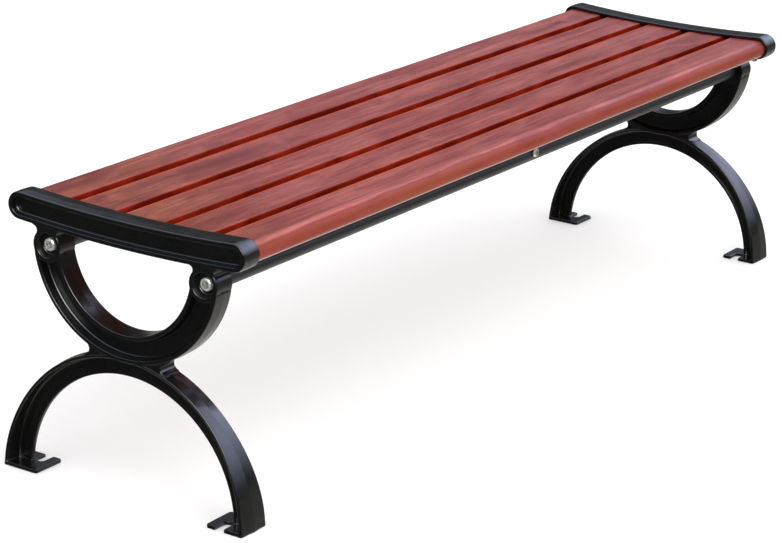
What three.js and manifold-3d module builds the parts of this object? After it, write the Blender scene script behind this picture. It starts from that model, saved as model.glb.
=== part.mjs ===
// Backless park bench: five timber slats held between two identical cast end frames, with two
// steel rails bolted between the frames and one cross strap under the middle of the seat.
// Millimetres. X runs along the bench, the front is -Y, +Z is up, and the feet stand at z = 0.
// Each end frame is drawn round its own middle plane, with its outer face towards -X, and the
// second one is the first turned half a turn about Z.
import * as THREE from 'three';
import { mergeVertices } from 'three/addons/utils/BufferGeometryUtils.js';
import Module from 'manifold-3d';

const wasm = await Module();
wasm.setup();

// Overall
const LENGTH = 1500;
const FRAME_DEPTH = 34; // of the casting, along X
const HALF_DEPTH = FRAME_DEPTH / 2;
const FRAME_X = LENGTH / 2 - HALF_DEPTH; // middle plane of each casting
const GAP = 0.3; // between pieces that touch

// Top bar of the end frame: a stadium bent along a shallow dish
const BAR = { halfWidth: 201, height: 40, middleZ: 372.5, dishRadius: 2568 };
const BAR_RIM = 7; // width of the raised border round the outer panel
const BAR_PANEL_DEPTH = 9;
const BAR_WEB = 6; // wall between the outer panel and the slat pocket
const BAR_DRAFT = 0.6;
const PANEL_DRAFT = 1.2;

// Pocket for the slat ends on the bar's inner face, on a flatter dish than the bar
const POCKET = { halfWidth: 195.5, height: 30, dishRadius: 3600 };
const POCKET_DEPTH = FRAME_DEPTH - BAR_PANEL_DEPTH - BAR_WEB;
const SILL = (BAR.height - POCKET.height) / 2; // wall under the pocket, at the middle of the bar

// Upper U of the end frame: half an ellipse, I-shaped in section
const U_OUTER = { y: 158, z: 152 };
const U_INNER = { y: 112, z: 111 };
const U_CENTRE_Z = 346;
const U_FLANGE = 7;
const U_WEB = 7;
const FLANGE_DRAFT = 1; // taper of a cast wall, from the parting plane to its edge
const CHANNEL_DRAFT = 1.5;

// Bosses where the rails are bolted on
const BOSS = { y: 133, z: 331.6, radius: 23.5 };
const COUNTERBORE = { mouth: 17.5, floor: 14.5, depth: 11 };
const BOSS_HOLE_RADIUS = 5.5;
const NECK_OUTER_NOTCH = { y: 157, z: 350.1, radius: 6.8 }; // both touch the boss and the bar
const NECK_INNER_NOTCH = { y: 109.5, z: 349.2, radius: 6 };
const NECK_INTO_BAR = 6;

// Lower arch of the end frame: an outer flange with a ridge, and a web on its middle plane
const ARCH_OUTER = 209;
const ARCH_INNER = 177;
const ARCH_CENTRE_Z = -6;
const ARCH_FLANGE = 8;
const ARCH_RIDGE = 1.8;
const ARCH_WEB = 5;
const ARCH_BEAD = { width: 5, thickness: 6.6 };
const CROTCH_NOTCH = { y: 70, z: 200.8, radius: 8.6 };
const CROTCH_OVERLAP = 7;

// Feet
const FOOT_HALF_DEPTH = 27;
const FOOT_FLARE_HEIGHT = 170; // the arch's flange widens below this height
const PAD = { inner: 148, outer: 207, thickness: 5, corner: 4 };
const ANCHOR_SLOT = { y: 170.5, width: 14.6, end: 2 };

// Slats
const SLAT = { width: 66, thickness: 29, pitch: 81, edge: 2.5 };
const SLAT_COUNT = 5;
const SLAT_HALF_LENGTH = FRAME_X + HALF_DEPTH - BAR_PANEL_DEPTH - BAR_WEB - GAP;

// Rails, with a threaded plug in each end
const RAIL = { radius: 12.5, bore: 10 };
const RAIL_HALF_LENGTH = FRAME_X - HALF_DEPTH - GAP;
const PLUG_LENGTH = 25;
const BOLT = { head: 9.5, headHeight: 5, shank: 5, length: 55, socket: 4.6, socketDepth: 3 };

// Cross strap, with a bolt through each rail into its turned-down end; heights are from the
// rails' middle line
const STRAP = { x: 53, width: 25, thickness: 4, bendInset: 14, boltHeight: 4, endHeight: -9 };
const STRAP_BOLT = { head: 7, headHeight: 3.8, shank: 3, length: 34, socket: 2.9, socketDepth: 2 };

// Wood screws from below
const SCREW = { head: 5, headHeight: 3, shank: 2.4, hole: 2.8, depth: 17, socket: 1.9, socketDepth: 1.6 };
const SCREW_INSET = 9.5; // from the frame's inner face to the end screws
const SCREW_OUTWARD = 10; // the outer slats' end screws sit this much nearer the slat's open edge

const PAINT = new THREE.MeshStandardMaterial({ color: 0x0b0b0c, roughness: 0.28, metalness: 0.1 });
const TIMBER = new THREE.MeshStandardMaterial({ color: 0x8d3f2e, roughness: 0.42, metalness: 0 });
const RAIL_PAINT = new THREE.MeshStandardMaterial({ color: 0x1b1c1e, roughness: 0.4, metalness: 0.2 });
const ZINC = new THREE.MeshStandardMaterial({ color: 0xc9cbca, roughness: 0.25, metalness: 1 });

// ---- helpers ----

// A closed geometry as a manifold solid.
function solid(geometry) {
  const bare = new THREE.BufferGeometry();
  bare.setAttribute('position', geometry.getAttribute('position').clone());
  bare.setIndex(geometry.index);
  const merged = mergeVertices(bare, 1e-4);
  const vertProperties = new Float32Array(merged.getAttribute('position').array);
  const triVerts = new Uint32Array(merged.index.array);
  return new wasm.Manifold(new wasm.Mesh({ numProp: 3, vertProperties, triVerts }));
}

function geometryOf(manifold) {
  const mesh = manifold.getMesh();
  const geometry = new THREE.BufferGeometry();
  geometry.setAttribute('position', new THREE.BufferAttribute(mesh.vertProperties, 3));
  geometry.setIndex(new THREE.BufferAttribute(mesh.triVerts, 1));
  geometry.computeVertexNormals();
  return geometry;
}

function joined(pieces) {
  return pieces.reduce((whole, piece) => whole.add(piece));
}

function cut(body, cutters) {
  return cutters.reduce((left, cutter) => left.subtract(cutter), body);
}

// Points along an elliptical arc in the Y-Z plane, angles in radians from +Y towards +Z.
function arc(y, z, radiusY, radiusZ, from, to, steps) {
  const points = [];
  for (let i = 0; i <= steps; i += 1) {
    const angle = from + ((to - from) * i) / steps;
    points.push(new THREE.Vector2(y + radiusY * Math.cos(angle), z + radiusZ * Math.sin(angle)));
  }
  return points;
}

// Turns a geometry drawn in (y, z) and extruded along its third axis into X, Y, Z order.
function standUp(geometry) {
  const basis = new THREE.Matrix4().makeBasis(
    new THREE.Vector3(0, 1, 0),
    new THREE.Vector3(0, 0, 1),
    new THREE.Vector3(1, 0, 0),
  );
  return geometry.applyMatrix4(basis);
}

// A straight-sided extrusion of a Y-Z outline between two X positions.
function slab(points, fromX, toX) {
  const options = { depth: toX - fromX, bevelEnabled: false };
  const geometry = new THREE.ExtrudeGeometry(new THREE.Shape(points), options);
  return standUp(geometry).translate(fromX, 0, 0);
}

// An extrusion that narrows by `draft` on every side, from a middle plane to both ends.
function tapered(points, middleX, halfThickness, draft) {
  const land = 0.2;
  const options = {
    depth: land,
    bevelThickness: halfThickness - land / 2,
    bevelSize: draft,
    bevelOffset: -draft,
    bevelSegments: 1,
  };
  const geometry = new THREE.ExtrudeGeometry(new THREE.Shape(points), options);
  return standUp(geometry).translate(middleX - land / 2, 0, 0);
}

// A round bar along X.
function rod(y, z, radius, fromX, toX, sides = 32, endRadius = radius) {
  const geometry = new THREE.CylinderGeometry(endRadius, radius, toX - fromX, sides);
  return geometry.rotateZ(-Math.PI / 2).translate((fromX + toX) / 2, y, z);
}

const mirrored = (points) => points.map((p) => new THREE.Vector2(-p.x, p.y)).reverse();

// ---- end frame ----

// A round-ended bar bent along a dish, moved in by `inset`.
function dishedBar({ halfWidth, height, dishRadius }, inset = 0) {
  const half = height / 2;
  const centreZ = BAR.middleZ + dishRadius;
  const turn = Math.asin((halfWidth - half) / dishRadius);
  const down = -Math.PI / 2;
  const endY = dishRadius * Math.sin(turn);
  const endZ = centreZ - dishRadius * Math.cos(turn);
  const r = half - inset;
  return [
    ...arc(0, centreZ, dishRadius + r, dishRadius + r, down - turn, down + turn, 10),
    ...arc(endY, endZ, r, r, down + turn, down + turn + Math.PI, 12).slice(1, -1),
    ...arc(0, centreZ, dishRadius - r, dishRadius - r, down + turn, down - turn, 10),
    ...arc(-endY, endZ, r, r, -down - turn, -down - turn + Math.PI, 12).slice(1, -1),
  ];
}

function bar() {
  const body = solid(tapered(dishedBar(BAR), 0, HALF_DEPTH, BAR_DRAFT));
  const panelReach = BAR_PANEL_DEPTH + 1;
  const outline = dishedBar(BAR, BAR_RIM);
  const panel = solid(tapered(outline, -HALF_DEPTH - 1, panelReach, PANEL_DRAFT));
  const pocket = solid(slab(dishedBar(POCKET), HALF_DEPTH - POCKET_DEPTH, HALF_DEPTH + 5));
  return cut(body, [panel, pocket]);
}

// The band between the U's two ellipses, each moved into the metal by `inset`.
// It stops at the height of the bosses.
function uOutline(inset) {
  const over = ({ y, z }, way, steps) => {
    const drop = Math.asin((U_CENTRE_Z - BOSS.z) / z);
    const ends = [Math.PI + drop, 2 * Math.PI - drop];
    return arc(0, U_CENTRE_Z, y, z, ends[way], ends[1 - way], steps);
  };
  const outer = { y: U_OUTER.y - inset, z: U_OUTER.z - inset };
  const inner = { y: U_INNER.y + inset, z: U_INNER.z + inset };
  return [...over(outer, 0, 30), ...over(inner, 1, 26)];
}

function upperU() {
  const body = solid(tapered(uOutline(0), 0, HALF_DEPTH, FLANGE_DRAFT));
  const channel = uOutline(U_FLANGE);
  const reach = HALF_DEPTH - U_WEB / 2 + 1;
  const onSide = (side) => solid(tapered(channel, side * (HALF_DEPTH + 1), reach, CHANNEL_DRAFT));
  return cut(body, [onSide(-1), onSide(1)]);
}

// The stub that joins a boss to the bar; the notches round its corners are cut later.
function neck() {
  const intoBar = BAR.middleZ - BAR.height / 2 + NECK_INTO_BAR;
  const outline = [
    new THREE.Vector2(BOSS.y, BOSS.z),
    new THREE.Vector2(NECK_OUTER_NOTCH.y, NECK_OUTER_NOTCH.z),
    new THREE.Vector2(NECK_OUTER_NOTCH.y, intoBar),
    new THREE.Vector2(NECK_INNER_NOTCH.y, intoBar),
    new THREE.Vector2(NECK_INNER_NOTCH.y, NECK_INNER_NOTCH.z),
  ];
  return solid(slab(outline, 0.2 - HALF_DEPTH, HALF_DEPTH - 0.2));
}

// Half the width of the lower arch's flange at height z.
function flangeHalfDepth(z) {
  const s = THREE.MathUtils.smoothstep(FOOT_FLARE_HEIGHT - z, 0, FOOT_FLARE_HEIGHT);
  return HALF_DEPTH + (FOOT_HALF_DEPTH - HALF_DEPTH) * s;
}

// Arch bands run from floor level on one side to floor level on the other.
function archBand(outer, inner) {
  const from = (radius) => Math.asin(-ARCH_CENTRE_Z / radius);
  const over = (radius, steps) =>
    arc(0, ARCH_CENTRE_Z, radius, radius, from(radius), Math.PI - from(radius), steps);
  return [...over(outer, 40), ...over(inner, 40).reverse()];
}

function lowerArch() {
  const band = archBand(ARCH_OUTER, ARCH_OUTER - ARCH_FLANGE);
  const flange = tapered(band, 0, HALF_DEPTH, ARCH_RIDGE);
  const position = flange.getAttribute('position');
  for (let i = 0; i < position.count; i += 1) {
    const z = Math.max(position.getZ(i), 0);
    position.setX(i, (position.getX(i) * flangeHalfDepth(z)) / HALF_DEPTH);
    position.setZ(i, z);
  }
  const web = slab(archBand(ARCH_OUTER - ARCH_RIDGE - 1, ARCH_INNER), -ARCH_WEB / 2, ARCH_WEB / 2);
  const half = ARCH_BEAD.thickness / 2;
  const bead = slab(archBand(ARCH_INNER + ARCH_BEAD.width, ARCH_INNER - 0.4), -half, half);
  return [flange, web, bead].map(solid);
}

// The filling between the bottom of the U and the crown of the arch, let into both.
function crotch() {
  const u = { y: U_OUTER.y - CROTCH_OVERLAP, z: U_OUTER.z - CROTCH_OVERLAP };
  const arch = ARCH_OUTER - CROTCH_OVERLAP;
  const uAngle = Math.acos(CROTCH_NOTCH.y / u.y);
  const archAngle = Math.acos(CROTCH_NOTCH.y / arch);
  const outline = [
    ...arc(0, U_CENTRE_Z, u.y, u.z, -uAngle, uAngle - Math.PI, 8),
    ...arc(0, ARCH_CENTRE_Z, arch, arch, Math.PI - archAngle, archAngle, 8),
  ];
  return solid(slab(outline, 1 - HALF_DEPTH, HALF_DEPTH - 1));
}

// One foot pad at +Y or -Y, with its slot open towards +X at +Y and towards -X at -Y.
function pad(side) {
  const c = PAD.corner;
  const middleY = (PAD.inner + PAD.outer) / 2;
  const halfY = (PAD.outer - PAD.inner) / 2;
  const corners = [[1, -1], [1, 1], [-1, 1], [-1, -1]];
  const outline = corners.flatMap(([sx, sy], i) => {
    const start = -Math.PI / 2 + (i * Math.PI) / 2;
    const centreX = sx * (FOOT_HALF_DEPTH - c);
    const centreY = middleY + sy * (halfY - c);
    return arc(centreX, centreY, c, c, start, start + Math.PI / 2, 3);
  });
  const options = { depth: PAD.thickness, bevelEnabled: false };
  const plate = new THREE.ExtrudeGeometry(new THREE.Shape(outline), options);
  return solid(side > 0 ? plate : plate.rotateZ(Math.PI));
}

function anchorSlot(side) {
  const r = ANCHOR_SLOT.width / 2;
  const endX = ANCHOR_SLOT.end + r;
  const outline = [
    new THREE.Vector2(FOOT_HALF_DEPTH + 5, ANCHOR_SLOT.y + r),
    ...arc(endX, ANCHOR_SLOT.y, r, r, Math.PI / 2, (3 * Math.PI) / 2, 8),
    new THREE.Vector2(FOOT_HALF_DEPTH + 5, ANCHOR_SLOT.y - r),
  ];
  const options = { depth: PAD.thickness + 6, bevelEnabled: false };
  const cutter = new THREE.ExtrudeGeometry(new THREE.Shape(outline), options).translate(0, 0, -1);
  return solid(side > 0 ? cutter : cutter.rotateZ(Math.PI));
}

function notches({ y, z, radius }) {
  return [-1, 1].map((side) => solid(rod(side * y, z, radius, -FRAME_DEPTH, FRAME_DEPTH, 20)));
}

function bossCuts(side) {
  const y = side * BOSS.y;
  const mouthX = -HALF_DEPTH - 1;
  const floorX = COUNTERBORE.depth - HALF_DEPTH;
  const bore = rod(y, BOSS.z, COUNTERBORE.mouth, mouthX, floorX, 28, COUNTERBORE.floor);
  const hole = rod(y, BOSS.z, BOSS_HOLE_RADIUS, -FRAME_DEPTH, FRAME_DEPTH, 16);
  return [solid(bore), solid(hole)];
}

// Angle on the pocket's dish of slat i, counted from the front.
const slatAngle = (i) => ((i - (SLAT_COUNT - 1) / 2) * SLAT.pitch) / POCKET.dishRadius;

// A point on slat i, `across` from its middle line and `above` its middle plane.
function onSlat(i, across, above) {
  const angle = slatAngle(i);
  const radius = POCKET.dishRadius - above;
  const y = radius * Math.sin(angle) + across * Math.cos(angle);
  const z = BAR.middleZ + POCKET.dishRadius - radius * Math.cos(angle) + across * Math.sin(angle);
  return new THREE.Vector2(y, z);
}

const slatNumbers = Array.from({ length: SLAT_COUNT }, (_, i) => i);

// How far slat i's end screws stand from its middle line, clear of the bosses.
function screwAcross(i) {
  if (i === 0) return -SCREW_OUTWARD;
  return i === SLAT_COUNT - 1 ? SCREW_OUTWARD : 0;
}

// An upright bar under slat i, leaning with it, between two heights from its middle plane.
function underSlat(i, x, across, radius, low, high, sides) {
  const middle = onSlat(i, across, (low + high) / 2);
  const geometry = new THREE.CylinderGeometry(radius, radius, high - low, sides);
  return geometry.rotateX(Math.PI / 2 + slatAngle(i)).translate(x, middle.x, middle.y);
}

function screwHolesInBar() {
  const low = -BAR.height / 2 - 4;
  const x = HALF_DEPTH - SCREW_INSET;
  return slatNumbers.map((i) => solid(underSlat(i, x, screwAcross(i), SCREW.hole, low, 0, 10)));
}

function endFrame() {
  const reach = HALF_DEPTH - 0.1;
  const bosses = [-1, 1].map((side) => solid(rod(side * BOSS.y, BOSS.z, BOSS.radius, -reach, reach, 32)));
  const necks = [neck(), neck().mirror([0, 1, 0])];
  const pads = [-1, 1].map(pad);
  const columns = joined([upperU(), ...bosses, ...necks]);
  const notched = cut(columns, [...notches(NECK_OUTER_NOTCH), ...notches(NECK_INNER_NOTCH)]);
  const saddle = cut(crotch(), notches(CROTCH_NOTCH));
  const pieces = [notched, bar(), saddle, ...lowerArch(), ...pads];
  const openings = [...bossCuts(-1), ...bossCuts(1), anchorSlot(-1), anchorSlot(1)];
  return cut(joined(pieces), [...openings, ...screwHolesInBar()]);
}

// ---- slats ----

// A slat's section: small rounded corners, and a full round on an outer slat's open edge.
function slatOutline(i) {
  const front = i === 0;
  const back = i === SLAT_COUNT - 1;
  const halfW = SLAT.width / 2;
  const halfT = SLAT.thickness / 2;
  const corners = [
    { sy: 1, sz: -1, round: back },
    { sy: 1, sz: 1, round: back },
    { sy: -1, sz: 1, round: front },
    { sy: -1, sz: -1, round: front },
  ];
  const flat = corners.flatMap(({ sy, sz, round }, k) => {
    const r = round ? halfT - 0.05 : SLAT.edge;
    const start = -Math.PI / 2 + (k * Math.PI) / 2;
    return arc(sy * (halfW - r), sz * (halfT - r), r, r, start, start + Math.PI / 2, round ? 9 : 4);
  });
  return flat.map((p) => onSlat(i, p.x, p.y));
}

function slat(i) {
  const board = solid(slab(slatOutline(i), -SLAT_HALF_LENGTH, SLAT_HALF_LENGTH));
  const low = -SLAT.thickness / 2 - 2;
  const endX = FRAME_X - HALF_DEPTH + SCREW_INSET;
  const places = hasStrapScrew(i) ? [-endX, STRAP.x, endX] : [-endX, endX];
  const high = low + 2 + SCREW.depth;
  const pilots = places.map((x) => solid(underSlat(i, x, screwAcross(i), SCREW.hole, low, high, 10)));
  return cut(board, pilots);
}

// ---- rails and bolts ----

function rail(side) {
  const y = side * BOSS.y;
  const tube = solid(rod(y, BOSS.z, RAIL.radius, -RAIL_HALF_LENGTH, RAIL_HALF_LENGTH, 32));
  const bore = solid(rod(y, BOSS.z, RAIL.bore, -LENGTH, LENGTH, 32));
  const radius = STRAP_BOLT.shank + GAP;
  const hole = new THREE.CylinderGeometry(radius, radius, 3 * RAIL.radius, 12);
  hole.translate(STRAP.x, y, BOSS.z + STRAP.boltHeight);
  return cut(tube, [bore, solid(hole)]);
}

// The plug in the -X end of a rail; the +X one is this one turned about Z.
function railPlug(side) {
  const from = -RAIL_HALF_LENGTH + 0.5;
  const body = solid(rod(side * BOSS.y, BOSS.z, RAIL.bore - GAP, from, from + PLUG_LENGTH, 32));
  return cut(body, [solid(rod(side * BOSS.y, BOSS.z, BOLT.shank + GAP, -LENGTH, LENGTH, 24))]);
}

// A button-head bolt standing on the origin with its shank down -Z.
function buttonBolt({ head, headHeight, shank, length, socket, socketDepth }, sides) {
  const edge = 0.25 * headHeight;
  const crown = 0.62 * head;
  const profile = [
    new THREE.Vector2(0, -length),
    new THREE.Vector2(0.8 * shank, -length),
    new THREE.Vector2(shank, 0.2 * shank - length),
    new THREE.Vector2(shank, 0),
    new THREE.Vector2(head, 0),
    new THREE.Vector2(head, edge),
    new THREE.Vector2(0.88 * head, 0.7 * headHeight),
    new THREE.Vector2(crown, headHeight),
    new THREE.Vector2(0, headHeight),
  ];
  const body = solid(new THREE.LatheGeometry(profile, sides).rotateX(Math.PI / 2));
  const key = new THREE.CylinderGeometry(socket, socket, 2 * socketDepth, 6).rotateX(Math.PI / 2);
  return cut(body, [solid(key.translate(0, 0, headHeight))]);
}

// ---- cross strap ----

const strapEndY = BOSS.y - RAIL.radius - GAP - STRAP.thickness / 2;
const hasStrapScrew = (i) => Math.abs(i - (SLAT_COUNT - 1) / 2) < 1.5;

// The strap's middle line: under the slats, then down the rails' inner faces.
function strapLine() {
  const below = (SLAT.thickness + STRAP.thickness) / -2 - GAP;
  const halfSlat = SLAT.width / 2;
  const last = SLAT_COUNT - 2;
  const half = [
    onSlat(last - 1, halfSlat, below),
    onSlat(last, -halfSlat, below),
    onSlat(last, halfSlat - STRAP.bendInset, below),
    new THREE.Vector2(strapEndY, BOSS.z + RAIL.radius),
    new THREE.Vector2(strapEndY, BOSS.z + STRAP.endHeight),
  ];
  return [...mirrored(half), ...half];
}

// The outline of a strip of the given thickness along a bent middle line.
function ribbon(line, thickness) {
  const normalOf = (a, b) => new THREE.Vector2(a.y - b.y, b.x - a.x).normalize();
  const offset = (side) =>
    line.map((point, i) => {
      const before = normalOf(line[Math.max(i - 1, 0)], line[Math.max(i, 1)]);
      const after = normalOf(line[Math.min(i, line.length - 2)], line[Math.min(i + 1, line.length - 1)]);
      const mitre = before.clone().add(after);
      mitre.multiplyScalar(thickness / mitre.dot(before) / 2);
      return point.clone().addScaledVector(mitre, side);
    });
  return [...offset(-1), ...offset(1).reverse()];
}

function strap() {
  const half = STRAP.width / 2;
  const body = solid(slab(ribbon(strapLine(), STRAP.thickness), STRAP.x - half, STRAP.x + half));
  const slatFace = -SLAT.thickness / 2;
  const low = slatFace - 3 * STRAP.thickness;
  const screwHoles = slatNumbers
    .filter(hasStrapScrew)
    .map((i) => solid(underSlat(i, STRAP.x, 0, SCREW.hole, low, slatFace + GAP, 10)));
  const radius = STRAP_BOLT.shank + GAP;
  const boltHoles = [-1, 1].map((side) => {
    const hole = new THREE.CylinderGeometry(radius, radius, 3 * STRAP.thickness, 12);
    return solid(hole.translate(STRAP.x, side * strapEndY, BOSS.z + STRAP.boltHeight));
  });
  return cut(body, [...screwHoles, ...boltHoles]);
}

// ---- assembly ----

const bench = new THREE.Group();

function place(name, geometry, material, position, rotation) {
  const mesh = new THREE.Mesh(geometry, material);
  mesh.name = name;
  if (position) mesh.position.copy(position);
  if (rotation) mesh.rotation.copy(rotation);
  bench.add(mesh);
}

const ENDS = [['left', -1], ['right', 1]];
const SIDES = [['front', -1], ['rear', 1]];

const frameGeometry = geometryOf(endFrame());
for (const [end, way] of ENDS) {
  const turn = new THREE.Euler(0, 0, way < 0 ? 0 : Math.PI);
  place(`end_frame_${end}`, frameGeometry, PAINT, new THREE.Vector3(way * FRAME_X, 0, 0), turn);
}

for (const i of slatNumbers) place(`slat_${i + 1}`, geometryOf(slat(i)), TIMBER);

const boltGeometry = geometryOf(buttonBolt(BOLT, 24));
const boltX = FRAME_X + HALF_DEPTH - COUNTERBORE.depth + GAP;
for (const [side, sign] of SIDES) {
  place(`rail_${side}`, geometryOf(rail(sign)), RAIL_PAINT);
  for (const [end, way] of ENDS) {
    const turned = way < 0 ? railPlug(sign) : railPlug(-sign);
    const turn = new THREE.Euler(0, 0, way < 0 ? 0 : Math.PI);
    place(`rail_plug_${side}_${end}`, geometryOf(turned), ZINC, null, turn);
    const outwards = new THREE.Euler(0, (way * Math.PI) / 2, 0);
    const seat = new THREE.Vector3(way * boltX, sign * BOSS.y, BOSS.z);
    place(`frame_bolt_${side}_${end}`, boltGeometry, ZINC, seat, outwards);
  }
}

place('cross_strap', geometryOf(strap()), RAIL_PAINT);
const strapBoltGeometry = geometryOf(buttonBolt(STRAP_BOLT, 16));
for (const [side, sign] of SIDES) {
  const face = BOSS.y + RAIL.radius + GAP;
  const seat = new THREE.Vector3(STRAP.x, sign * face, BOSS.z + STRAP.boltHeight);
  const outwards = new THREE.Euler((-sign * Math.PI) / 2, 0, 0);
  place(`strap_bolt_${side}`, strapBoltGeometry, ZINC, seat, outwards);
}

// Wood screws, heads down, each leaning with its slat.
function woodScrew(gripThickness) {
  return geometryOf(buttonBolt({ ...SCREW, length: gripThickness + SCREW.depth - 2 }, 12));
}

function placeScrew(name, geometry, i, x, seat) {
  const point = onSlat(i, screwAcross(i), seat);
  const headDown = new THREE.Euler(Math.PI + slatAngle(i), 0, 0);
  place(name, geometry, ZINC, new THREE.Vector3(x, point.x, point.y), headDown);
}

const endScrewGeometry = woodScrew(SILL);
for (const [end, way] of ENDS) {
  const x = way * (FRAME_X - HALF_DEPTH + SCREW_INSET);
  for (const i of slatNumbers) {
    placeScrew(`slat_screw_${end}_${i + 1}`, endScrewGeometry, i, x, -BAR.height / 2 - GAP);
  }
}

const strapScrewGeometry = woodScrew(STRAP.thickness);
const strapSeat = -SLAT.thickness / 2 - STRAP.thickness - 2 * GAP;
for (const i of slatNumbers.filter(hasStrapScrew)) {
  placeScrew(`strap_screw_${i + 1}`, strapScrewGeometry, i, STRAP.x, strapSeat);
}

export default bench;
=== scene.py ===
"""Looks of a backless park bench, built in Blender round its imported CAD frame.

The castings are drawn as one distance field, so every edge is rounded and every inner corner has
a fillet, and the surface is taken from that field. Slats, rails, strap and fasteners are lofted.
Shape values are in millimetres, and Blender objects are in metres. X runs along the bench, the
front is -Y and Z is up.
"""
import math

import bpy
import numpy as np
from mathutils import Matrix, Vector


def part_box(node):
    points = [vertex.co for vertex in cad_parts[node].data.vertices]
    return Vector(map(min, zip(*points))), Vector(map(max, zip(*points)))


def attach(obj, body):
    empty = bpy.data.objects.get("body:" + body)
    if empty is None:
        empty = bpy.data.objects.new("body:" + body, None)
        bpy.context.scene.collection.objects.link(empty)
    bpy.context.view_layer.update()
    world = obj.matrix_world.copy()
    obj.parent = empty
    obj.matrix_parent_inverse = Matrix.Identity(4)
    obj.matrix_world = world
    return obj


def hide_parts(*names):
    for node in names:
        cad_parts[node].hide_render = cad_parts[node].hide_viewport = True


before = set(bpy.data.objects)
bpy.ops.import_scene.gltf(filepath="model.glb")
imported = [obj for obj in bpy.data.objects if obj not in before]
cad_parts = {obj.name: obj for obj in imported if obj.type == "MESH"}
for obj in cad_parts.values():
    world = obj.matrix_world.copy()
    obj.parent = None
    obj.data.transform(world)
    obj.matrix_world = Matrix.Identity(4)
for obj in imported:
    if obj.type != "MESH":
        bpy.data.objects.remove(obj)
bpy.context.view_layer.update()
MM = 0.001


def box_mm(node):
    """A CAD node's lowest and highest corners, in millimetres."""
    low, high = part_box(node)
    return low / MM, high / MM


# ---- driving dimensions ----

CAST_LOW, CAST_HIGH = box_mm("end_frame_left")
CASTING_X = -(CAST_LOW.x + CAST_HIGH.x) / 2
FOOT_HALF_DEPTH = (CAST_HIGH.x - CAST_LOW.x) / 2
ARCH_OUTER = (CAST_HIGH.y - CAST_LOW.y) / 2
HALF_DEPTH = 17

BAR = {"half_width": 201, "half_height": 20, "dish": 2568}
BAR_MIDDLE_Z = 372.5
BAR_DRAFT = 0.6
PANEL = {"rim": 7, "floor_x": -8, "draft": 1.2}
POCKET = {"half_width": 195.5, "half_height": 15, "dish": 3600}
POCKET_FLOOR_X = -2

# The U lies between two ellipses, each with its half sizes in Y and Z.
U_OUTER = (158, 152)
U_INNER = (112, 111)
U_CENTRE_Z = 346
U_FLANGE = 7
U_HALF_WEB = 3.5
U_TOP_ROUNDING = 12
FLANGE_DRAFT = 1
CHANNEL_DRAFT = 1.5

BOSS_Y = 133
BOSS_Z = 331.6
BOSS_RADIUS = 23.5
COUNTERBORE = {"mouth": 17.5, "floor": 14.5, "depth": 11}
BOSS_HOLE = 5.5
# A notch is a circle: its centre's Y and Z, and its radius.
NECK_NOTCHES = [(157, 350.1, 6.8), (109.5, 349.2, 6)]
NECK_TOP = 358.5

ARCH_CENTRE_Z = -6
ARCH_FLANGE = 8
ARCH_RIDGE = 1.8
ARCH_HALF_WEB = 2.5
ARCH_BEAD = {"radius": 179.5, "half_width": 2.7, "half_depth": 3.3}
FLARE_HEIGHT = 170
CROTCH_NOTCH = (70, 200.8, 8.6)
CROTCH_OVERLAP = 7
CROTCH_HALF_DEPTH = 15.8

PAD = {"inner": 148, "outer": 207, "thickness": 5, "corner": 4}
ANCHOR_SLOT = {"y": 170.5, "radius": 7.3, "centre_x": 9.3, "top": 10}

# Radii of the rounded edges and of the fillets.
EDGE = 1.8
INNER_EDGE = 1.2
FILLET = 3.5
CORNER_FILLET = 2
BEAD_ROUNDING = 1.5
POCKET_EDGE = 0.8
PAD_EDGE = 1.2

SLAT_COUNT = 5
SLAT = {"half_width": 33, "half_thickness": 14.5, "pitch": 81, "edge": 2.5, "nose": 14.45}
SLAT_HALF_LENGTH = box_mm("slat_3")[1].x
SLAT_STATIONS = 150
SLAT_WAVE = 0.2
WAVE_FADE = 8
LIFT_WAVE = {"along": 61, "across": 23, "shift": 1.7}
SWAY_WAVE = {"along": 97, "across": 17, "shift": 2.9}
EDGE_LINE = 3
EDGE_LINE_SHARE = 0.3
NOSE_STEPS = 12
EDGE_STEPS = 6

RAIL = {"radius": 12.5, "bore": 10, "ease": 0.8}
RAIL_HALF_LENGTH = box_mm("rail_front")[1].x
RAIL_SIDES = 64
RAIL_STATIONS = 20

CLEARANCE = 0.3
STRAP = {"x": 53, "half_width": 12.5, "thickness": 4, "rounding": 1}
STRAP_BENDS = {"middle": 34, "shoulder": 101, "end_z": 322.6, "cut": 6}
BEND_STEPS = 6
LEAST_CUTS_PER_SIDE = 2.2
STRAP_EDGE_STEPS = 3

FRAME_BOLT = {"head": 9.5, "tall": 5, "shank": 5, "length": 55, "socket": 4.6, "deep": 3}
STRAP_BOLT = {"head": 7, "tall": 3.8, "shank": 3, "length": 34, "socket": 2.9, "deep": 2}
END_SCREW = {"head": 5, "tall": 3, "shank": 2.4, "length": 20, "socket": 1.9, "deep": 1.6}
STRAP_SCREW = {"head": 5, "tall": 3, "shank": 2.4, "length": 19, "socket": 1.9, "deep": 1.6}
HEAD = {"fillet": 0.2, "ease": 0.3, "skirt": 0.22, "crown": 1.45, "steps": 8, "sides": 48}
# The tip is in shares of the shank's radius. Each socket ring has shares of its radius and depth.
SHANK_TIP = {"radius": 0.75, "height": 0.3}
SOCKET_RINGS = [(1.12, 0), (1, 0.12), (1, 1), (0.55, 1.1)]

SIDES = [("front", -1), ("rear", 1)]
ENDS = [("left", -1), ("right", 1)]
# A section's four corners in turn, each with its signs across and up.
CORNERS = [(1, -1), (1, 1), (-1, 1), (-1, -1)]


# ---- meshes ----

def new_object(name, vertices, faces):
    """A smooth-shaded object with this mesh, in the scene."""
    mesh = bpy.data.meshes.new(name)
    mesh.from_pydata(vertices, [], faces)
    mesh.validate()
    mesh.shade_smooth()
    piece = bpy.data.objects.new(name, mesh)
    bpy.context.scene.collection.objects.link(piece)
    return piece


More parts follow.
